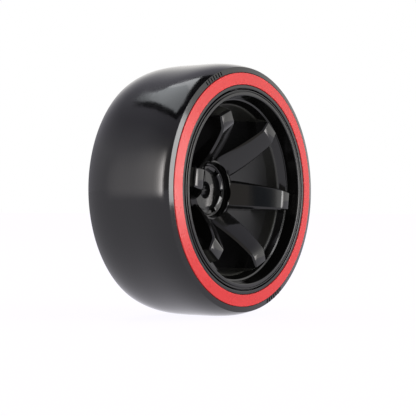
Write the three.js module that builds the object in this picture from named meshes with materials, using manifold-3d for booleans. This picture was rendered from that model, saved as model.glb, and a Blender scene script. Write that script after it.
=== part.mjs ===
// A 1/10 scale drift car wheel: a hard tyre with a coloured ring let into its sidewall,
// on a deep-dish rim with six spokes.
//
// Frame: millimetres, +Z up, the wheel spins about Y and its centre is the origin. The outer
// face, the side with the dish and the spokes, looks toward -Y. The car is on the +Y side.
// Every profile below is written as [radius, out]: out is the distance from the middle plane
// toward the outer face, so y = -out.
//
// The rim is one moulding. It is divided here into its barrel, its hub and its six spokes,
// with JOIN_GAP between them, so that each zone is a simple solid.
import * as THREE from 'three';
import { mergeVertices } from 'three/addons/utils/BufferGeometryUtils.js';
import Module from 'manifold-3d';

// Overall size
const WHEEL_DIAMETER = 64;
const WHEEL_WIDTH = 26.5;
const ROUND_FACETS = 72;
const JOIN_GAP = 0.3;
const HALF_WIDTH = WHEEL_WIDTH / 2;

// Tyre: a thin hard shell, crowned across the tread, with a lip at each side
const TYRE_RADIUS = WHEEL_DIAMETER / 2;
const TYRE_FACE = 13.1;
const SHOULDER_OUT = 12.5;
const CROWN_DROP = 1.25;
const CROWN_POWER = 4;
const CROWN_STEPS = 8;
const TYRE_WALL = 2.4;
const TYRE_LIP_THICKNESS = 2.6;
const TYRE_BORE_RADIUS = 25.3;

// Coloured ring, let into a groove in the outer sidewall
const GROOVE_OUTER = [29.45, 12.87];
const GROOVE_INNER = [26.2, TYRE_FACE];
const GROOVE_FLOOR = 11.8;
const RING_FACE = 13.25;
const RING_CHAMFER = 0.15;
const RING_CLEARANCE = 0.2;

// Rim barrel
const BEAD_RADIUS = TYRE_BORE_RADIUS - JOIN_GAP;
const BEAD_WIDTH = 2.8;
const WELL_RADIUS = 23;
const LIP_INNER_RADIUS = 23.6;
const LIP_CHAMFER = 0.25;
const DISH_RIDGE = [22.75, 9.9];
const DISH_STEP = [21.4, 8];
const BARREL_REAR_RADIUS = 21.6;

// Hub: nut recess in front, hexagon socket behind, bore for the axle through both
const HUB_RADIUS = 9;
const HUB_FRONT = 1.1;
const HUB_REAR = -7.6;
const HUB_EDGE = 0.5;
const NUT_RECESS_RADIUS = 5.3;
const NUT_SEAT = 0.2;
const NOTCH_WIDTH = 1.5;
const NOTCH_LENGTH = 1.2;
const NOTCH_OVERCUT = 0.1;
const HEX_ACROSS_FLATS = 12;
const HEX_SEAT = -2.6;
const AXLE_BORE_RADIUS = 2.1;

// Spokes: each rises from the hub to a flat knuckle that is nearly flush with the rim lip
const SPOKE_COUNT = 6;
const FIRST_SPOKE_DEGREES = 112;
const SPOKE_ROOT = [HUB_RADIUS + JOIN_GAP, 5.55];
const SPOKE_RISE = [14.3, 10.35];
const SPOKE_KNEE = [17.35, 12.4];
const SPOKE_TIP = [20.4, 12.35];
const SPOKE_BACK_ROOT = -5.2;
const SPOKE_BACK_TIP = -0.5;
const SPOKE_ROOT_WIDTH = 7.1;
const SPOKE_TIP_WIDTH = 4.7;
const SPOKE_EDGE_CHAMFER = 0.45;

const wasm = await Module();
wasm.setup();

// A closed geometry with its shared vertices merged, ready to become a solid.
function closed(geometry) {
  geometry.deleteAttribute('normal');
  geometry.deleteAttribute('uv');
  return mergeVertices(geometry, 1e-4);
}

function toSolid(geometry) {
  const merged = closed(geometry);
  return new wasm.Manifold(new wasm.Mesh({
    numProp: 3,
    vertProperties: new Float32Array(merged.attributes.position.array),
    triVerts: new Uint32Array(merged.index.array),
  }));
}

function fromSolid(solid) {
  const mesh = solid.getMesh();
  const geometry = new THREE.BufferGeometry();
  geometry.setAttribute('position', new THREE.BufferAttribute(mesh.vertProperties, 3));
  geometry.setIndex(new THREE.BufferAttribute(mesh.triVerts, 1));
  return geometry;
}

// An outline turned about the spin axis. It runs from the inner face, out along the far side
// from the axis, to the outer face and back along the bore.
function turned(outline, facets = ROUND_FACETS) {
  const points = outline.map(([radius, out]) => new THREE.Vector2(radius, -out)).reverse();
  points.push(points[0].clone());
  return new THREE.LatheGeometry(points, facets);
}

// A cylinder along the spin axis between two out values.
function plug(radius, from, to, sides) {
  const geometry = new THREE.CylinderGeometry(radius, radius, Math.abs(to - from), sides);
  geometry.translate(0, -(from + to) / 2, 0);
  return geometry;
}

// Turns a geometry made along +X about the spin axis, counter-clockwise seen from outside.
function aroundAxis(geometry, degrees) {
  return geometry.rotateY(THREE.MathUtils.degToRad(-degrees));
}

function tyreGeometry() {
  const outline = [[TYRE_BORE_RADIUS, -TYRE_FACE]];
  for (let step = -CROWN_STEPS; step <= CROWN_STEPS; step += 1) {
    // Steps crowd toward both shoulders, where the crown bends most.
    const across = Math.sin((step / CROWN_STEPS) * Math.PI / 2);
    const drop = CROWN_DROP * Math.abs(across) ** CROWN_POWER;
    outline.push([TYRE_RADIUS - drop, across * SHOULDER_OUT]);
  }
  outline.push(
    GROOVE_OUTER,
    [GROOVE_OUTER[0], GROOVE_FLOOR],
    [GROOVE_INNER[0], GROOVE_FLOOR],
    GROOVE_INNER,
    [TYRE_BORE_RADIUS, TYRE_FACE],
    [TYRE_BORE_RADIUS, TYRE_FACE - TYRE_LIP_THICKNESS],
    [TYRE_RADIUS - TYRE_WALL, TYRE_FACE - TYRE_LIP_THICKNESS],
    [TYRE_RADIUS - TYRE_WALL, -TYRE_FACE + TYRE_LIP_THICKNESS],
    [TYRE_BORE_RADIUS, -TYRE_FACE + TYRE_LIP_THICKNESS],
  );
  return turned(outline);
}

function ringGeometry() {
  const outer = GROOVE_OUTER[0] - RING_CLEARANCE;
  const inner = GROOVE_INNER[0] + RING_CLEARANCE;
  const back = GROOVE_FLOOR + RING_CLEARANCE;
  return turned([
    [inner, back],
    [outer, back],
    [outer, RING_FACE - RING_CHAMFER],
    [outer - RING_CHAMFER, RING_FACE],
    [inner + RING_CHAMFER, RING_FACE],
    [inner, RING_FACE - RING_CHAMFER],
  ]);
}

function barrelGeometry() {
  const beadEnd = HALF_WIDTH - BEAD_WIDTH;
  const wellEnd = beadEnd - (BEAD_RADIUS - WELL_RADIUS) / 2;
  return turned([
    [BARREL_REAR_RADIUS, -HALF_WIDTH],
    [BEAD_RADIUS - LIP_CHAMFER, -HALF_WIDTH],
    [BEAD_RADIUS, -HALF_WIDTH + LIP_CHAMFER],
    [BEAD_RADIUS, -beadEnd],
    [WELL_RADIUS, -wellEnd],
    [WELL_RADIUS, wellEnd],
    [BEAD_RADIUS, beadEnd],
    [BEAD_RADIUS, HALF_WIDTH - LIP_CHAMFER],
    [BEAD_RADIUS - LIP_CHAMFER, HALF_WIDTH],
    [LIP_INNER_RADIUS, HALF_WIDTH],
    DISH_RIDGE,
    DISH_STEP,
  ]);
}

function hubGeometry() {
  let hub = toSolid(turned([
    [AXLE_BORE_RADIUS, HUB_REAR],
    [HUB_RADIUS, HUB_REAR],
    [HUB_RADIUS, HUB_FRONT - HUB_EDGE],
    [HUB_RADIUS - HUB_EDGE, HUB_FRONT],
    [NUT_RECESS_RADIUS, HUB_FRONT],
    [NUT_RECESS_RADIUS, NUT_SEAT],
    [AXLE_BORE_RADIUS, NUT_SEAT],
  ], ROUND_FACETS / 2));

  const hexRadius = HEX_ACROSS_FLATS / 2 / Math.cos(Math.PI / 6);
  hub = hub.subtract(toSolid(plug(hexRadius, HUB_REAR - 1, HEX_SEAT, 6)));

  // The recess wall is cut through beside every spoke, which leaves six raised segments.
  const notchHeight = 2 * (HUB_FRONT - NUT_SEAT);
  for (let index = 0; index < SPOKE_COUNT; index += 1) {
    const notch = new THREE.BoxGeometry(NOTCH_LENGTH, notchHeight, NOTCH_WIDTH);
    const reach = NUT_RECESS_RADIUS + NOTCH_LENGTH / 2 - NOTCH_OVERCUT;
    notch.translate(reach, -NUT_SEAT - notchHeight / 2, 0);
    hub = hub.subtract(toSolid(aroundAxis(notch, spokeDegrees(index))));
  }
  return fromSolid(hub);
}

function spokeDegrees(index) {
  return FIRST_SPOKE_DEGREES - index * 360 / SPOKE_COUNT;
}

// One spoke along +X: its side outline with a width that tapers from the root to the tip.
// The front edges are chamfered along the slope and round the knuckle.
function spokeGeometry(index) {
  const [rootRadius, rootOut] = SPOKE_ROOT;
  const [riseRadius, riseOut] = SPOKE_RISE;
  const [kneeRadius, kneeOut] = SPOKE_KNEE;
  const [tipRadius, tipOut] = SPOKE_TIP;
  const chamfer = SPOKE_EDGE_CHAMFER;
  const side = [
    [rootRadius, SPOKE_BACK_ROOT],
    [tipRadius, SPOKE_BACK_TIP],
    [tipRadius, tipOut - chamfer],
    [kneeRadius, kneeOut - chamfer],
    [riseRadius, riseOut - chamfer],
    [rootRadius, rootOut - chamfer],
  ];
  const front = [
    [rootRadius, rootOut - chamfer],
    [riseRadius, riseOut - chamfer],
    [kneeRadius, kneeOut - chamfer],
    [tipRadius, tipOut - chamfer],
    [tipRadius - chamfer, tipOut],
    [kneeRadius, kneeOut],
    [riseRadius, riseOut],
    [rootRadius, rootOut],
  ];
  const body = toSolid(taperedSlab(side, 0));
  const cap = toSolid(taperedSlab(front, chamfer));
  return aroundAxis(fromSolid(body.add(cap)), spokeDegrees(index));
}

// Extrudes a [radius, out] outline across a spoke. The outline's last half is its front edge
// and is drawn in by inset on each side.
function taperedSlab(outline, inset) {
  const shape = new THREE.Shape(outline.map(([radius, out]) => new THREE.Vector2(radius, out)));
  const geometry = new THREE.ExtrudeGeometry(shape, { depth: 1, bevelEnabled: false });
  const frontPoints = outline.slice(outline.length / 2);
  const position = geometry.attributes.position;
  for (let vertex = 0; vertex < position.count; vertex += 1) {
    const radius = position.getX(vertex);
    const out = position.getY(vertex);
    const side = position.getZ(vertex) > 0.5 ? -1 : 1;
    const along = (radius - SPOKE_ROOT[0]) / (SPOKE_TIP[0] - SPOKE_ROOT[0]);
    const width = THREE.MathUtils.lerp(SPOKE_ROOT_WIDTH, SPOKE_TIP_WIDTH, along);
    const onFront = frontPoints.some(([r, o]) => Math.hypot(r - radius, o - out) < 1e-3);
    const reach = width / 2 - (onFront ? inset : 0);
    position.setXYZ(vertex, radius, -out, side * reach);
  }
  return geometry;
}

function plastic(color, roughness) {
  return new THREE.MeshStandardMaterial({ color, roughness, metalness: 0 });
}

const tyrePlastic = plastic(0x17171a, 0.18);
const ringPlastic = plastic(0xe2463f, 0.4);
const rimPlastic = plastic(0x121212, 0.14);

const wheel = new THREE.Group();

function addPiece(name, geometry, material) {
  const mesh = new THREE.Mesh(geometry, material);
  mesh.name = name;
  wheel.add(mesh);
}

addPiece('tyre', closed(tyreGeometry()), tyrePlastic);
addPiece('sidewall_ring', closed(ringGeometry()), ringPlastic);
addPiece('rim_barrel', closed(barrelGeometry()), rimPlastic);
addPiece('rim_hub', hubGeometry(), rimPlastic);
for (let index = 0; index < SPOKE_COUNT; index += 1) {
  addPiece(`rim_spoke_${index + 1}`, spokeGeometry(index), rimPlastic);
}

export default wheel;
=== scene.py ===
import math

import bmesh
import bpy
from mathutils import Matrix, Vector


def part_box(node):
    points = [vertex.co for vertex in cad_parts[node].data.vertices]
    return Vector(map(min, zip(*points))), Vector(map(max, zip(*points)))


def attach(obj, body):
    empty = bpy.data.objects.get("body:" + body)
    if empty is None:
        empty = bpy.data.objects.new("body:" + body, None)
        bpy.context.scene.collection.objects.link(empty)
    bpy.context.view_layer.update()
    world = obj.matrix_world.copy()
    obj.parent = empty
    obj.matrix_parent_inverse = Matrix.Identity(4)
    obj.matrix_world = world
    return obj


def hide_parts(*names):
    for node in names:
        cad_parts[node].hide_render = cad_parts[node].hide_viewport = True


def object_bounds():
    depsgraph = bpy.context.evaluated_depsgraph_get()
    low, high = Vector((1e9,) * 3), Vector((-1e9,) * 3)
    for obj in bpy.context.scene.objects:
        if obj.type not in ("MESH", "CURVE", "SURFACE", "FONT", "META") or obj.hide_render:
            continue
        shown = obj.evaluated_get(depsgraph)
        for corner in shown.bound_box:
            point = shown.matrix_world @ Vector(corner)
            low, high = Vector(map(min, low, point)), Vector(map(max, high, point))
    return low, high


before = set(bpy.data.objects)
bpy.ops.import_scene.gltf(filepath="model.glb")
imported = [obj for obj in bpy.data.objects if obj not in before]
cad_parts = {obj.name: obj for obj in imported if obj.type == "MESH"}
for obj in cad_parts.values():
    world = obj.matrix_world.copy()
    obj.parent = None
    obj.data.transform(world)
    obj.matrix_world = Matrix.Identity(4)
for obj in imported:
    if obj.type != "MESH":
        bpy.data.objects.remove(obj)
cad_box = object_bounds()

MM = 0.001
SEGMENTS = 192
TYRE_SEGMENTS = 256
HUB_SEGMENTS = 96
SMOOTH_BELOW = math.radians(32)
WELD_DISTANCE = 1e-7

# The wheel spins about Y and its outer face looks toward -Y. Profiles are written as
# (radius, out, fillet) in millimetres, where out is the distance toward the outer face.
tyre_low, tyre_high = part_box("tyre")
ring_low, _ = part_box("sidewall_ring")
barrel_low, barrel_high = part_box("rim_barrel")
_, hub_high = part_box("rim_hub")
TYRE_RADIUS = tyre_high.z / MM
TYRE_FACE = -tyre_low.y / MM
RING_FACE = -ring_low.y / MM
RIM_FACE = -barrel_low.y / MM
BEAD_RADIUS = barrel_high.z / MM
HUB_RADIUS = hub_high.z / MM
HUB_REAR = -hub_high.y / MM
SPOKE_COUNT = 6
SPOKE_PITCH = 360 / SPOKE_COUNT
SPOKE_ANGLES = [112 - SPOKE_PITCH * index for index in range(SPOKE_COUNT)]


# ---------------------------------------------------------------- mesh helpers

def place(radius, out, degrees):
    """A point of the wheel, in metres, at an angle counted from +X toward +Z."""
    angle = math.radians(degrees)
    return Vector((radius * math.cos(angle), -out, radius * math.sin(angle))) * MM


def spoke_frame(degrees):
    """Returns a function that turns a point written as (along the spoke, out, across it) in
    millimetres into a point of the wheel in metres."""
    angle = math.radians(degrees)
    along = Vector((math.cos(angle), 0, math.sin(angle)))
    across = Vector((-math.sin(angle), 0, math.cos(angle)))

    def convert(radius, out, side):
        return (along * radius + across * side + Vector((0, -out, 0))) * MM

    return convert


LONGEST_REACH = 0.45  # of the shorter neighbouring side, so that two arcs never overlap


def rounded(corners, steps=4, support=0.05):
    """A closed outline of (x, y, fillet) corners with each corner replaced by an arc of its
    fillet's radius. A supporting point is put close to both ends of every long straight, so
    that its shading stays flat."""
    count = len(corners)
    arcs = []
    for index, (x, y, fillet) in enumerate(corners):
        point = Vector((x, y))
        before = Vector(corners[index - 1][:2]) - point
        after = Vector(corners[(index + 1) % count][:2]) - point
        if fillet <= 0:
            arcs.append([point])
            continue
        half = before.angle(after) / 2
        reach = fillet / math.tan(half)
        limit = LONGEST_REACH * min(before.length, after.length)
        if reach > limit:
            fillet *= limit / reach
            reach = limit
        start = point + before.normalized() * reach
        end = point + after.normalized() * reach
        middle = (before.normalized() + after.normalized()).normalized()
        centre = point + middle * fillet / math.sin(half)
        first = start - centre
        last = end - centre
        turn = first.angle_signed(last)
        arc = []
        for step in range(steps + 1):
            arm = first.copy()
            arm.rotate(Matrix.Rotation(-turn * step / steps, 2))
            arc.append(centre + arm)
        arcs.append(arc)
    points = []
    for index, arc in enumerate(arcs):
        points.extend(arc)
        start = arc[-1]
        end = arcs[(index + 1) % count][0]
        length = (end - start).length
        if support and length > 6 * support:
            points.append(start.lerp(end, support / length))
            points.append(end.lerp(start, support / length))
    return [(p.x, p.y) for p in points]


def mesh_object(name, bm):
    """An object from a finished bmesh, smooth shaded up to its sharp edges."""
    bmesh.ops.recalc_face_normals(bm, faces=bm.faces)
    mesh = bpy.data.meshes.new(name)
    bm.to_mesh(mesh)
    bm.free()
    mesh.shade_smooth()
    mesh.set_sharp_from_angle(angle=SMOOTH_BELOW)
    piece = bpy.data.objects.new(name, mesh)
    bpy.context.scene.collection.objects.link(piece)
    return piece


def lathe(name, outline, segments=SEGMENTS):
    """Turns a closed (radius, out) outline about the spin axis."""
    bm = bmesh.new()
    rings = []
    for segment in range(segments):
        degrees = 360 * segment / segments
        rings.append([bm.verts.new(place(r, out, degrees)) for r, out in outline])
    count = len(outline)
    for segment in range(segments):
        ring = rings[segment]
        following = rings[(segment + 1) % segments]
        for index in range(count):
            other = (index + 1) % count
            bm.faces.new((ring[index], ring[other], following[other], following[index]))
    return mesh_object(name, bm)


def loft(name, sections):
    """A closed solid through several sections with the same number of points."""
    bm = bmesh.new()
    rings = [[bm.verts.new(point) for point in section] for section in sections]
    count = len(sections[0])
    for ring, following in zip(rings, rings[1:]):
        for index in range(count):
            other = (index + 1) % count
            bm.faces.new((ring[index], ring[other], following[other], following[index]))
    bm.faces.new(rings[0])
    bm.faces.new(rings[-1])
    return mesh_object(name, bm)


def combine(target, others, operation):
    """Joins the other pieces to the target, or cuts them out of it, as solids."""
    for other in others:
        step = target.modifiers.new("solid", "BOOLEAN")
        step.operation = operation
        step.solver = "EXACT"
        step.object = other
        bpy.context.view_layer.update()
        depsgraph = bpy.context.evaluated_depsgraph_get()
        mesh = bpy.data.meshes.new_from_object(target.evaluated_get(depsgraph))
        target.modifiers.clear()
        target.data = mesh
        bpy.data.objects.remove(other)
    bm = bmesh.new()
    bm.from_mesh(target.data)
    bmesh.ops.remove_doubles(bm, verts=bm.verts, dist=WELD_DISTANCE)
    bm.to_mesh(target.data)
    bm.free()
    target.data.shade_smooth()
    target.data.set_sharp_from_angle(angle=SMOOTH_BELOW)


def together(name, pieces):
    """Several separate solids as one mesh."""
    bm = bmesh.new()
    for piece in pieces:
        bm.from_mesh(piece.data)
        bpy.data.objects.remove(piece)
    return mesh_object(name, bm)


def between(points, value):
    """The height at x = value of a smooth curve through (x, y) points."""
    for index in range(len(points) - 1):
        if points[index][0] <= value <= points[index + 1][0]:
            break
    x1, y1 = points[index]
    x2, y2 = points[index + 1]
    x0, y0 = points[max(index - 1, 0)]
    x3, y3 = points[min(index + 2, len(points) - 1)]
    slope1 = (y2 - y0) / (x2 - x0)
    slope2 = (y3 - y1) / (x3 - x1)
    span = x2 - x1
    t = (value - x1) / span
    return (
        (2 * t**3 - 3 * t**2 + 1) * y1
        + (t**3 - 2 * t**2 + t) * span * slope1
        + (-2 * t**3 + 3 * t**2) * y2
        + (t**3 - t**2) * span * slope2
    )


# ---------------------------------------------------------------- materials

PLASTIC_IOR = 1.5
DRIFT_SCALE = 70.0
GLOSS_SCALE = 220.0
GLOSS_SPREAD = 0.04
LOWEST_ROUGHNESS = 0.02
RIPPLE_STRENGTH = 0.25
RIPPLE_RELIEF = 0.02 * MM


def moulded_plastic(name, color, roughness, grain=900.0, specular=0.43):
    """Moulded plastic: faint colour drift, uneven gloss and a fine surface ripple."""
    material = bpy.data.materials.new(name)
    material.use_nodes = True
    nodes = material.node_tree.nodes
    links = material.node_tree.links
    shader = nodes["Principled BSDF"]
    shader.inputs["Specular IOR Level"].default_value = specular
    shader.inputs["IOR"].default_value = PLASTIC_IOR
    where = nodes.new("ShaderNodeTexCoord")

    drift = nodes.new("ShaderNodeTexNoise")
    drift.inputs["Scale"].default_value = DRIFT_SCALE
    drift.inputs["Detail"].default_value = 4.0
    links.new(where.outputs["Object"], drift.inputs["Vector"])
    tint = nodes.new("ShaderNodeMix")
    tint.data_type = "RGBA"
    tint.inputs["A"].default_value = [c * 0.9 for c in color] + [1]
    tint.inputs["B"].default_value = [min(c * 1.1, 1) for c in color] + [1]
    links.new(drift.outputs["Fac"], tint.inputs["Factor"])
    links.new(tint.outputs["Result"], shader.inputs["Base Color"])

    gloss = nodes.new("ShaderNodeTexNoise")
    gloss.inputs["Scale"].default_value = GLOSS_SCALE
    gloss.inputs["Detail"].default_value = 6.0
    links.new(where.outputs["Object"], gloss.inputs["Vector"])
    uneven = nodes.new("ShaderNodeMapRange")
    uneven.inputs["From Min"].default_value = 0.3
    uneven.inputs["From Max"].default_value = 0.7
    uneven.inputs["To Min"].default_value = max(roughness - GLOSS_SPREAD, LOWEST_ROUGHNESS)
    uneven.inputs["To Max"].default_value = roughness + GLOSS_SPREAD
    links.new(gloss.outputs["Fac"], uneven.inputs["Value"])
    links.new(uneven.outputs["Result"], shader.inputs["Roughness"])

    ripple = nodes.new("ShaderNodeTexNoise")
    ripple.inputs["Scale"].default_value = grain
    ripple.inputs["Detail"].default_value = 3.0
    links.new(where.outputs["Object"], ripple.inputs["Vector"])
    bump = nodes.new("ShaderNodeBump")
    bump.inputs["Strength"].default_value = RIPPLE_STRENGTH
    bump.inputs["Distance"].default_value = RIPPLE_RELIEF
    links.new(ripple.outputs["Fac"], bump.inputs["Height"])
    links.new(bump.outputs["Normal"], shader.inputs["Normal"])
    return material


def dress(piece, material, slot, *replaced):
    """Gives a finished piece its material and puts it in the place of its CAD nodes."""
    piece.data.materials.clear()
    piece.data.materials.append(material)
    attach(piece, "root")
    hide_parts(*replaced)


# ---------------------------------------------------------------- tyre

CROWN_DROP = 1.25
CROWN_POWER = 4
CROWN_STEPS = 28
SHOULDER_OUT = 12.5
REAR_EDGE_OUT = -12.95
GROOVE_OUTER = (29.38, 12.87)
GROOVE_INNER = (26.2, TYRE_FACE)
GROOVE_FLOOR = 11.8
TYRE_BORE = 25.35
TYRE_LIP = 2.6
TYRE_WALL = 2.4
BAR_GROUPS = (115.5, -64.5)
BARS_PER_GROUP = 7
BAR_PITCH = 2.05
BAR_RADIUS = 30.07
BAR_LENGTHS = (1.0, 1.2)
BAR_WIDTH = 0.5
BAR_THICKNESS = 0.5
BAR_DEPTH = 0.08
BAR_BEVEL = 0.07


def crown(out):
    """The radius of the tread, which drops toward both shoulders."""
    return TYRE_RADIUS - CROWN_DROP * abs(out / SHOULDER_OUT) ** CROWN_POWER


def tyre_outline():
    """The hollow tyre: tread, sidewall with the ring's groove, lips and inner cavity."""
    corners = [(TYRE_BORE, -TYRE_FACE, 0.3), (GROOVE_OUTER[0], REAR_EDGE_OUT, 0.4)]
    for step in range(-CROWN_STEPS, CROWN_STEPS + 1):
        # Steps crowd toward both shoulders, where the crown bends most.
        out = SHOULDER_OUT * math.sin(step / CROWN_STEPS * math.pi / 2)
        corners.append((crown(out), out, 0.45 if abs(step) == CROWN_STEPS else 0))
    corners += [
        (GROOVE_OUTER[0], GROOVE_OUTER[1], 0.1),
        (GROOVE_OUTER[0], GROOVE_FLOOR, 0),
        (GROOVE_INNER[0], GROOVE_FLOOR, 0),
        (GROOVE_INNER[0], GROOVE_INNER[1], 0.12),
        (TYRE_BORE, TYRE_FACE, 0.22),
        (TYRE_BORE, TYRE_FACE - TYRE_LIP, 0),
        (TYRE_RADIUS - TYRE_WALL, TYRE_FACE - TYRE_LIP, 0.5),
        (TYRE_RADIUS - TYRE_WALL, TYRE_LIP - TYRE_FACE, 0.5),
        (TYRE_BORE, TYRE_LIP - TYRE_FACE, 0),
    ]
    return rounded(corners)


def raised_bar(degrees, length):
    """A small bevelled bar whose middle lies just under the outer sidewall's slope."""
    bm = bmesh.new()
    bmesh.ops.create_cube(bm, size=1)
    size = (length * MM, BAR_THICKNESS * MM, BAR_WIDTH * MM)
    bmesh.ops.scale(bm, verts=bm.verts, vec=size)
    bmesh.ops.bevel(bm, geom=bm.edges, offset=BAR_BEVEL * MM, segments=2, affect="EDGES")
    run = crown(SHOULDER_OUT) - GROOVE_OUTER[0]
    slope = math.atan2(GROOVE_OUTER[1] - SHOULDER_OUT, run)
    share = (BAR_RADIUS - GROOVE_OUTER[0]) / run
    out = GROOVE_OUTER[1] + share * (SHOULDER_OUT - GROOVE_OUTER[1])
    lift = Matrix.Translation((BAR_RADIUS * MM, -(out - BAR_DEPTH) * MM, 0))
    tilt = Matrix.Rotation(slope, 4, "Z")
    spin = Matrix.Rotation(-math.radians(degrees), 4, "Y")
    bm.transform(spin @ lift @ tilt)
    return mesh_object("bar", bm)


tyre = lathe("tyre_shell", tyre_outline(), TYRE_SEGMENTS)
bars = []
for group in BAR_GROUPS:
    for index in range(BARS_PER_GROUP):
        degrees = group + (index - BARS_PER_GROUP // 2) * BAR_PITCH
        bars.append(raised_bar(degrees, BAR_LENGTHS[index % 2]))
combine(tyre, [together("bars", bars)], "UNION")

# ---------------------------------------------------------------- coloured ring

RING_INNER = 26.32
RING_OUTER = 29.26
RING_BACK = GROOVE_FLOOR + 0.1
RING_SLOPE = 0.28

ring = lathe("sidewall_colour_ring", rounded([
    (RING_INNER, RING_BACK, 0),
    (RING_OUTER, RING_BACK, 0),
    (RING_OUTER, RING_FACE - RING_SLOPE, 0.1),
    (RING_INNER, RING_FACE, 0.12),
]), TYRE_SEGMENTS)

# ---------------------------------------------------------------- rim

AXLE_BORE = 2.1
NUT_FLOOR = 0.2
HEX_FLATS = 12.0
HEX_FLOOR = -2.6

# From the rear edge round the bead seats and the well to the ridge, the lip and the two
# ledges of the dish.
rim = lathe("wheel_rim", rounded([
    (21.6, -RIM_FACE, 0.3),
    (BEAD_RADIUS, -RIM_FACE, 0.3),
    (BEAD_RADIUS, -10.45, 0.3),
    (23.0, -9.45, 0.5),
    (23.0, 9.45, 0.5),
    (BEAD_RADIUS, 10.45, 0.3),
    (BEAD_RADIUS, 13.1, 0.2),
    (24.72, 13.1, 0.08),
    (24.66, 12.8, 0.05),
    (24.46, 12.8, 0.05),
    (24.40, RIM_FACE, 0.1),
    (23.6, RIM_FACE, 0.25),
    (23.0, 9.98, 0.12),
    (22.55, 9.9, 0.14),
    (21.8, 8.15, 0.5),
    (21.3, 7.85, 0.6),
    (21.1, 5.0, 1),
]))

hub = lathe("hub", rounded([
    (AXLE_BORE, HUB_REAR, 0.15),
    (HUB_RADIUS, HUB_REAR, 0.4),
    (HUB_RADIUS, 2.0, 0.3),
    (7.5, 2.85, 0.05),
    (5.0, 2.85, 0),
    (5.0, NUT_FLOOR, 0),
    (AXLE_BORE, NUT_FLOOR, 0.15),
]), HUB_SEGMENTS)
hub_recess = lathe("recess", rounded([
    (0.5, NUT_FLOOR, 0),
    (6.15, NUT_FLOOR, 0.05),
    (6.2, 0.85, 0.06),
    (6.85, 0.95, 0.25),
    (7.3, 4.2, 0),
    (7.3, 8.0, 0),
    (0.5, 8.0, 0),
]), HUB_SEGMENTS)

SEGMENT_RADIUS = 5.7
SEGMENT_STEPS = 10
SEGMENT_CORNERS = [
    (5.2, -0.3, 0), (5.2, 1.06, 0.1), (6.08, 1.33, 0.14), (6.35, 1.0, 0), (6.35, -0.3, 0),
]
# How far a segment's section shrinks (inset) at a distance (push) from its end.
SEGMENT_ENDS = ((0.14, 0), (0.06, 0.04), (0.0, 0.14))
NOTCH = math.degrees(1.45 / SEGMENT_RADIUS)


def hub_segment(start, end):
    """One of the raised segments round the nut recess, with rounded ends."""
    sections = []
    for inset, push in SEGMENT_ENDS:
        sections.append((start + math.degrees(push / SEGMENT_RADIUS), inset))
    for step in range(1, SEGMENT_STEPS):
        sections.append((start + (end - start) * step / SEGMENT_STEPS, 0))
    for inset, push in reversed(SEGMENT_ENDS):
        sections.append((end - math.degrees(push / SEGMENT_RADIUS), inset))
    rings = []
    for degrees, inset in sections:
        shape = [
            (r + inset if r < 5.5 else r - inset if r < 6.2 else r,
             out - inset if out > 0 else out, fillet)
            for r, out, fillet in SEGMENT_CORNERS
        ]
        rings.append([place(r, out, degrees) for r, out in rounded(shape, 3, 0)])
    return loft("segment", rings)


segments = [hub_segment(a + NOTCH / 2, a + SPOKE_PITCH - NOTCH / 2) for a in SPOKE_ANGLES]

# The spoke's front as (radius, out): it rises to the knee, runs flat over the knuckle and
# then drops behind the ledge.
SPOKE_FRONT = [
    (5.7, 1.4), (7.3, 3.3), (8.6, 4.83), (9.2, 5.52), (10.0, 6.42), (11.6, 8.02),
    (13.0, 9.3), (14.3, 10.38), (14.9, 10.86), (15.4, 11.24), (15.9, 11.6), (16.4, 11.93),
    (16.9, 12.22), (17.35, 12.4),
]
KNEE = SPOKE_FRONT[-1][0]
KNUCKLE = [
    (17.43, 12.41), (20.15, 12.42), (20.25, 12.4), (20.34, 12.3), (20.45, 12.05),
    (20.95, 11.1), (21.1, 10.75), (21.3, 10.1), (21.6, 8.9), (22.3, 6.4),
]
STATION_STEP = 0.4
ROOT_RADIUS, ROOT_WIDTH, ROOT_BACK, ROOT_EDGE = 8.9, 7.1, -5.2, 0.75
TIP_RADIUS, TIP_WIDTH, TIP_BACK, TIP_EDGE = 20.5, 4.7, -0.5, 0.3
WIDEST_HALF = 3.6
BACK_FLARE = 0.25


def spoke(degrees):
    """One spoke as a loft of six-sided sections with bevelled front edges."""
    convert = spoke_frame(degrees)
    stations = []
    radius = SPOKE_FRONT[0][0]
    while radius < KNEE - 0.2:
        stations.append((radius, between(SPOKE_FRONT, radius)))
        radius += STATION_STEP
    stations.append((KNEE - 0.08, between(SPOKE_FRONT, KNEE - 0.08)))
    stations += KNUCKLE
    rings = []
    for radius, front in stations:
        along = (radius - ROOT_RADIUS) / (TIP_RADIUS - ROOT_RADIUS)
        width = ROOT_WIDTH + (TIP_WIDTH - ROOT_WIDTH) * along
        half = min(width / 2, WIDEST_HALF)
        back = ROOT_BACK + (TIP_BACK - ROOT_BACK) * along
        edge = ROOT_EDGE + (TIP_EDGE - ROOT_EDGE) * min(max(along, 0), 1)
        shape = rounded([
            (-half - BACK_FLARE, back, 0.3),
            (half + BACK_FLARE, back, 0.3),
            (half, front - 1.1 * edge, 0.25),
            (half - edge, front, 0.2),
            (-half + edge, front, 0.2),
            (-half, front - 1.1 * edge, 0.25),
        ], 3, 0)
        rings.append([convert(radius, out, side) for side, out in shape])
    return loft("spoke", rings)


spokes = together("spokes", [spoke(a) for a in SPOKE_ANGLES])
hex_corner = HEX_FLATS / 2 / math.cos(math.pi / 6)
hex_mouth = HUB_REAR - 1
hex_socket = lathe("hex", [
    (0, HEX_FLOOR), (hex_corner, HEX_FLOOR), (hex_corner, hex_mouth), (0, hex_mouth),
], 6)
combine(hub, [hex_socket], "DIFFERENCE")
combine(rim, [spokes, hub], "UNION")
combine(rim, [hub_recess], "DIFFERENCE")
combine(rim, [together("segments", segments)], "UNION")

# ---------------------------------------------------------------- finishes

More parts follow.
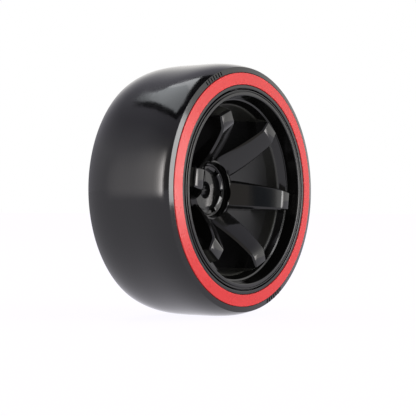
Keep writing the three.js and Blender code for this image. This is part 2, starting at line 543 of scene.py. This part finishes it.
TYRE_BLACK = (0.0036, 0.0034, 0.0038)
RING_RED = (0.53, 0.012, 0.012)
RIM_BLACK = (0.0032, 0.0032, 0.003)
# The ledge's lighter olive grey is painted light, standing in for dim light deep in the
# barrel, not the plastic's own colour.
LEDGE_PAINTED_LIGHT = (0.02, 0.0205, 0.017)

tyre_finish = moulded_plastic("tyre_gloss_black", TYRE_BLACK, 0.1)
ring_finish = moulded_plastic("ring_red", RING_RED, 0.29, grain=1500.0, specular=0.36)
rim_finish = moulded_plastic("rim_gloss_black", RIM_BLACK, 0.09)


def satin_and_painted_light_band(material, inner, outer, color, roughness):
    """Makes the part of a turned piece between two radii duller, and paints it a little
    lighter: painted light standing in for the dim light on the barrel's deep ledge.
    """
    nodes = material.node_tree.nodes
    links = material.node_tree.links
    shader = nodes["Principled BSDF"]
    where = nodes.new("ShaderNodeTexCoord")
    flat = nodes.new("ShaderNodeVectorMath")
    flat.operation = "MULTIPLY"
    flat.inputs[1].default_value = (1, 0, 1)
    links.new(where.outputs["Object"], flat.inputs[0])
    radius = nodes.new("ShaderNodeVectorMath")
    radius.operation = "LENGTH"
    links.new(flat.outputs["Vector"], radius.inputs[0])
    band = nodes.new("ShaderNodeValToRGB")
    scale = nodes.new("ShaderNodeMapRange")
    scale.inputs["From Max"].default_value = BEAD_RADIUS * MM
    links.new(radius.outputs["Value"], scale.inputs["Value"])
    links.new(scale.outputs["Result"], band.inputs["Fac"])
    ends = ((inner - 0.15, 0), (inner + 0.15, 1), (outer - 0.1, 1), (outer + 0.1, 0))
    for index, (at, value) in enumerate(ends):
        if index in (1, 2):
            stop = band.color_ramp.elements.new(at / BEAD_RADIUS)
        else:
            stop = band.color_ramp.elements[0 if index == 0 else -1]
            stop.position = at / BEAD_RADIUS
        stop.color = (value, value, value, 1)
    # The band's colour is painted light, mixed into the base colour between the two radii.
    tint = nodes.new("ShaderNodeMix")
    tint.data_type = "RGBA"
    links.new(band.outputs["Color"], tint.inputs["Factor"])
    links.new(shader.inputs["Base Color"].links[0].from_socket, tint.inputs["A"])
    tint.inputs["B"].default_value = (*color, 1)
    links.new(tint.outputs["Result"], shader.inputs["Base Color"])
    dull = nodes.new("ShaderNodeMix")
    links.new(band.outputs["Color"], dull.inputs["Factor"])
    links.new(shader.inputs["Roughness"].links[0].from_socket, dull.inputs["A"])
    dull.inputs["B"].default_value = roughness
    links.new(dull.outputs["Result"], shader.inputs["Roughness"])


# The barrel's deep ledge is made satin and painted lighter olive grey, painted light for the
# dim light that reaches it.
satin_and_painted_light_band(rim_finish, 20.7, 21.7, LEDGE_PAINTED_LIGHT, 0.4)

dress(tyre, tyre_finish, "tyre_plastic", "tyre")
dress(ring, ring_finish, "ring_plastic", "sidewall_ring")
dress(rim, rim_finish, "rim_plastic", "rim_barrel", "rim_hub",
      *[f"rim_spoke_{index}" for index in range(1, 7)])

# ---------------------------------------------------------------- stage

FLOOR_HALF = 6
FLOOR_GAP = 0.05 * MM
FLOOR_GREY = 0.06
FLOOR_GLOW = 0.96

floor_bm = bmesh.new()
bmesh.ops.create_grid(floor_bm, x_segments=1, y_segments=1, size=FLOOR_HALF)
bmesh.ops.translate(floor_bm, verts=floor_bm.verts, vec=(0, 0, tyre_low.z - FLOOR_GAP))
floor = mesh_object("floor", floor_bm)
paper = bpy.data.materials.new("paper")
paper.use_nodes = True
paper_shader = paper.node_tree.nodes["Principled BSDF"]
paper_shader.inputs["Base Color"].default_value = (FLOOR_GREY, FLOOR_GREY, FLOOR_GREY, 1)
paper_shader.inputs["Roughness"].default_value = 0.9
paper_shader.inputs["Specular IOR Level"].default_value = 0.0
paper_shader.inputs["Emission Color"].default_value = (1, 0.98, 1.06, 1)
paper_shader.inputs["Emission Strength"].default_value = FLOOR_GLOW
floor.data.materials.append(paper)

# Soft studio surroundings as (degrees counted from +X toward +Y, colour): brightest to the
# right of the camera, and dark beside it.
AROUND = [
    (-180, (0.45, 0.45, 0.45)), (-172, (0.5, 0.47, 0.45)), (-127, (0.5, 0.46, 0.43)),
    (-122, (0.15, 0.17, 0.2)), (-112, (0.17, 0.2, 0.24)), (-106, (0.6, 0.6, 0.6)),
    (-99, (1.7, 1.7, 1.68)), (-88, (2.0, 1.98, 1.95)), (-60, (2.0, 1.98, 1.95)),
    (-45, (1.4, 1.38, 1.36)), (-37, (1.36, 1.34, 1.32)), (40, (1.1, 1.08, 1.06)),
    (90, (0.96, 0.94, 1.04)), (140, (0.96, 0.94, 1.0)), (172, (1.0, 0.97, 0.95)),
    (178, (0.5, 0.45, 0.45)), (180, (0.45, 0.45, 0.45)),
]

CEILING = (0.225, 0.22, 0.25, 1)
CEILING_STARTS, CEILING_FULL = 0.42, 0.7
SURROUND_STRENGTH = 2.3

world = bpy.data.worlds.new("studio")
bpy.context.scene.world = world
world.use_nodes = True
wn = world.node_tree.nodes
wl = world.node_tree.links
wn.clear()
coords = wn.new("ShaderNodeTexCoord")
split = wn.new("ShaderNodeSeparateXYZ")
wl.new(coords.outputs["Generated"], split.inputs["Vector"])
turn = wn.new("ShaderNodeMath")
turn.operation = "ARCTAN2"
wl.new(split.outputs["Y"], turn.inputs[0])
wl.new(split.outputs["X"], turn.inputs[1])
share = wn.new("ShaderNodeMapRange")
share.inputs["From Min"].default_value = -math.pi
share.inputs["From Max"].default_value = math.pi
wl.new(turn.outputs["Value"], share.inputs["Value"])
around = wn.new("ShaderNodeValToRGB")
ramp = around.color_ramp
ramp.interpolation = "LINEAR"
for index, (degrees, color) in enumerate(AROUND):
    position = (degrees + 180) / 360
    if index == 0:
        stop = ramp.elements[0]
        stop.position = position
    elif index == len(AROUND) - 1:
        stop = ramp.elements[-1]
        stop.position = position
    else:
        stop = ramp.elements.new(position)
    stop.color = [c / 2 for c in color] + [1]
wl.new(share.outputs["Result"], around.inputs["Fac"])
height = wn.new("ShaderNodeMapRange")
height.inputs["From Min"].default_value = CEILING_STARTS
height.inputs["From Max"].default_value = CEILING_FULL
wl.new(split.outputs["Z"], height.inputs["Value"])
ceiling = wn.new("ShaderNodeMix")
ceiling.data_type = "RGBA"
ceiling.inputs["B"].default_value = CEILING
wl.new(height.outputs["Result"], ceiling.inputs["Factor"])
wl.new(around.outputs["Color"], ceiling.inputs["A"])
seen = wn.new("ShaderNodeLightPath")
surround = wn.new("ShaderNodeBackground")
surround.inputs["Strength"].default_value = SURROUND_STRENGTH
wl.new(ceiling.outputs["Result"], surround.inputs["Color"])
white = wn.new("ShaderNodeBackground")
white.inputs["Color"].default_value = (1, 1, 1, 1)
white.inputs["Strength"].default_value = 1.0
choose = wn.new("ShaderNodeMixShader")
wl.new(seen.outputs["Is Camera Ray"], choose.inputs["Fac"])
wl.new(surround.outputs["Background"], choose.inputs[1])
wl.new(white.outputs["Background"], choose.inputs[2])
out_node = wn.new("ShaderNodeOutputWorld")
wl.new(choose.outputs["Shader"], out_node.inputs["Surface"])


def softbox(name, start, toward, distance, width, tall, radiance):
    """A rectangular light that faces the start point from the given direction."""
    light = bpy.data.lights.new(name, "AREA")
    light.shape = "RECTANGLE"
    light.size = width
    light.size_y = tall
    light.energy = radiance * math.pi * width * tall
    lamp = bpy.data.objects.new(name, light)
    direction = Vector(toward).normalized()
    lamp.location = Vector(start) + direction * distance
    lamp.rotation_euler = direction.to_track_quat("Z", "Y").to_euler()
    lamp.visible_camera = False
    bpy.context.scene.collection.objects.link(lamp)


def level(degrees):
    """The level direction at an angle counted from +X toward +Y."""
    angle = math.radians(degrees)
    return (math.cos(angle), math.sin(angle), 0)


def hanging_panel(name, corners, height_m, color, radiance):
    """A flat panel that hangs above the wheel, with its corners given as (x, y)."""
    bm = bmesh.new()
    bm.faces.new([bm.verts.new((x, y, height_m)) for x, y in corners])
    panel = mesh_object(name, bm)
    panel.visible_camera = False
    panel.visible_shadow = False
    glow = bpy.data.materials.new(name)
    glow.use_nodes = True
    shader = glow.node_tree.nodes["Principled BSDF"]
    shader.inputs["Base Color"].default_value = (0, 0, 0, 1)
    shader.inputs["Specular IOR Level"].default_value = 0.0
    shader.inputs["Emission Color"].default_value = (*color, 1)
    shader.inputs["Emission Strength"].default_value = radiance
    panel.data.materials.append(glow)


WARMTH = (0.95, 0.93)
FOOT_FADE = 0.15
HEAD_FADE = 0.55


def soft_reflector(name, start, degrees, distance, half_width, low, high, profile):
    """An upright screen that glows along a profile of (across, radiance) stops, and fades
    out toward its top and bottom."""
    away = Vector(level(degrees))
    sideways = Vector(level(degrees + 90))
    middle = Vector(start) + away * distance
    bm = bmesh.new()
    corners = [(-half_width, low), (half_width, low), (half_width, high), (-half_width, high)]
    bm.faces.new([bm.verts.new(Vector((0, 0, z)) + sideways * x) for x, z in corners])
    screen = mesh_object(name, bm)
    screen.location = middle
    screen.visible_camera = False
    screen.visible_shadow = False
    screen.visible_diffuse = False
    glow = bpy.data.materials.new(name)
    glow.use_nodes = True
    nodes = glow.node_tree.nodes
    links = glow.node_tree.links
    nodes.clear()
    where = nodes.new("ShaderNodeTexCoord")
    across = nodes.new("ShaderNodeVectorMath")
    across.operation = "DOT_PRODUCT"
    across.inputs[1].default_value = sideways / (2 * half_width)
    links.new(where.outputs["Object"], across.inputs[0])
    shift = nodes.new("ShaderNodeMath")
    shift.operation = "ADD"
    shift.inputs[1].default_value = 0.5
    links.new(across.outputs["Value"], shift.inputs[0])
    shades = nodes.new("ShaderNodeValToRGB")
    brightest = max(radiance for _, radiance in profile)
    for index, (at, radiance) in enumerate(profile):
        if 0 < index < len(profile) - 1:
            stop = shades.color_ramp.elements.new(at)
        else:
            stop = shades.color_ramp.elements[0 if index == 0 else -1]
            stop.position = at
        grey = radiance / brightest
        stop.color = (grey, grey * WARMTH[0], grey * WARMTH[1], 1)
    links.new(shift.outputs["Value"], shades.inputs["Fac"])
    split_height = nodes.new("ShaderNodeSeparateXYZ")
    links.new(where.outputs["Object"], split_height.inputs["Vector"])
    rise = nodes.new("ShaderNodeMapRange")
    rise.inputs["From Min"].default_value = low
    rise.inputs["From Max"].default_value = low + FOOT_FADE * (high - low)
    rise.interpolation_type = "SMOOTHSTEP"
    links.new(split_height.outputs["Z"], rise.inputs["Value"])
    fall = nodes.new("ShaderNodeMapRange")
    fall.inputs["From Min"].default_value = high
    fall.inputs["From Max"].default_value = high - HEAD_FADE * (high - low)
    fall.interpolation_type = "SMOOTHSTEP"
    links.new(split_height.outputs["Z"], fall.inputs["Value"])
    both = nodes.new("ShaderNodeMath")
    both.operation = "MULTIPLY"
    links.new(rise.outputs["Result"], both.inputs[0])
    links.new(fall.outputs["Result"], both.inputs[1])
    strength = nodes.new("ShaderNodeMath")
    strength.operation = "MULTIPLY"
    strength.inputs[1].default_value = brightest
    links.new(both.outputs["Value"], strength.inputs[0])
    emit = nodes.new("ShaderNodeEmission")
    links.new(shades.outputs["Color"], emit.inputs["Color"])
    links.new(strength.outputs["Value"], emit.inputs["Strength"])
    clear = nodes.new("ShaderNodeBsdfTransparent")
    add = nodes.new("ShaderNodeAddShader")
    links.new(emit.outputs["Emission"], add.inputs[0])
    links.new(clear.outputs["BSDF"], add.inputs[1])
    out = nodes.new("ShaderNodeOutputMaterial")
    links.new(add.outputs["Shader"], out.inputs["Surface"])
    screen.data.materials.append(glow)


TREAD_EDGE = (-TYRE_RADIUS * MM, -0.008, 0)
SIDEWALL_EDGE = (-0.03, -0.013, 0)

# In this order they light the sidewall outside the ring, the tread and the left part of the
# ring. The three panels overhead show as reflections in the upper tread.
softbox("right_softbox", SIDEWALL_EDGE, level(293), 0.6, 0.15, 0.68, 8.5)
soft_reflector("left_reflector", TREAD_EDGE, 152, 0.2, 0.085, -0.031, 0.16, [
    (0.0, 0.0), (0.06, 0.0), (0.25, 0.85), (0.49, 1.5), (0.55, 1.5), (0.67, 2.5), (0.75, 4.2),
    (0.82, 7.5), (0.91, 11.0), (0.96, 4.5), (1.0, 0.0),
])
soft_reflector("ring_reflector", SIDEWALL_EDGE, 309, 0.5, 0.1, -0.05, 0.11,
               [(0, 0), (0.3, 10), (0.7, 10), (1, 0)])
hanging_panel("overhead_panel", [
    (-0.37, 0.21), (-0.2, 0.165), (0.31, 0.33), (0.24, 0.6), (0.1, 0.635),
    (-0.02, 0.63), (-0.08, 0.6), (-0.14, 0.55), (-0.19, 0.5), (-0.265, 0.39),
], 0.8, (0.96, 1.0, 1.04), 2.6)
hanging_panel("overhead_glare", [
    (0.0, 0.23), (0.31, 0.33), (0.24, 0.6), (0.19, 0.6), (0.16, 0.4),
], 0.798, (0.98, 1.0, 1.03), 3.6)
hanging_panel("overhead_frame", [
    (-0.5, 0.12), (-0.24, -0.06), (0.4, 0.2), (0.24, 0.6), (0.1, 0.645),
    (-0.05, 0.66), (-0.17, 0.64), (-0.27, 0.56), (-0.34, 0.47), (-0.42, 0.32),
], 0.81, (0.2, 0.2, 0.22), 0.05)

# ---------------------------------------------------------------- camera

YAW = 53.35
SENSOR_WIDTH = 36
LENS = 129.80769
CAMERA_RIGHT, CAMERA_UP, CAMERA_BACK = 0.87 * MM, -4.6 * MM, 383.7 * MM

centre = (Vector(cad_box[0]) + Vector(cad_box[1])) / 2
forward = Vector((math.sin(math.radians(YAW)), math.cos(math.radians(YAW)), 0))
right = Vector((math.cos(math.radians(YAW)), -math.sin(math.radians(YAW)), 0))
up = Vector((0, 0, 1))
camera_data = bpy.data.cameras.new("camera")
camera_data.sensor_width = SENSOR_WIDTH
camera_data.lens = LENS
camera_data.clip_start = 0.01
camera_data.clip_end = 50
camera = bpy.data.objects.new("camera", camera_data)
camera.location = centre + right * CAMERA_RIGHT + up * CAMERA_UP - forward * CAMERA_BACK
camera.rotation_euler = (math.radians(90), 0, math.radians(-YAW))
bpy.context.scene.collection.objects.link(camera)
bpy.context.scene.camera = camera
bpy.context.scene.view_settings.view_transform = "Standard"
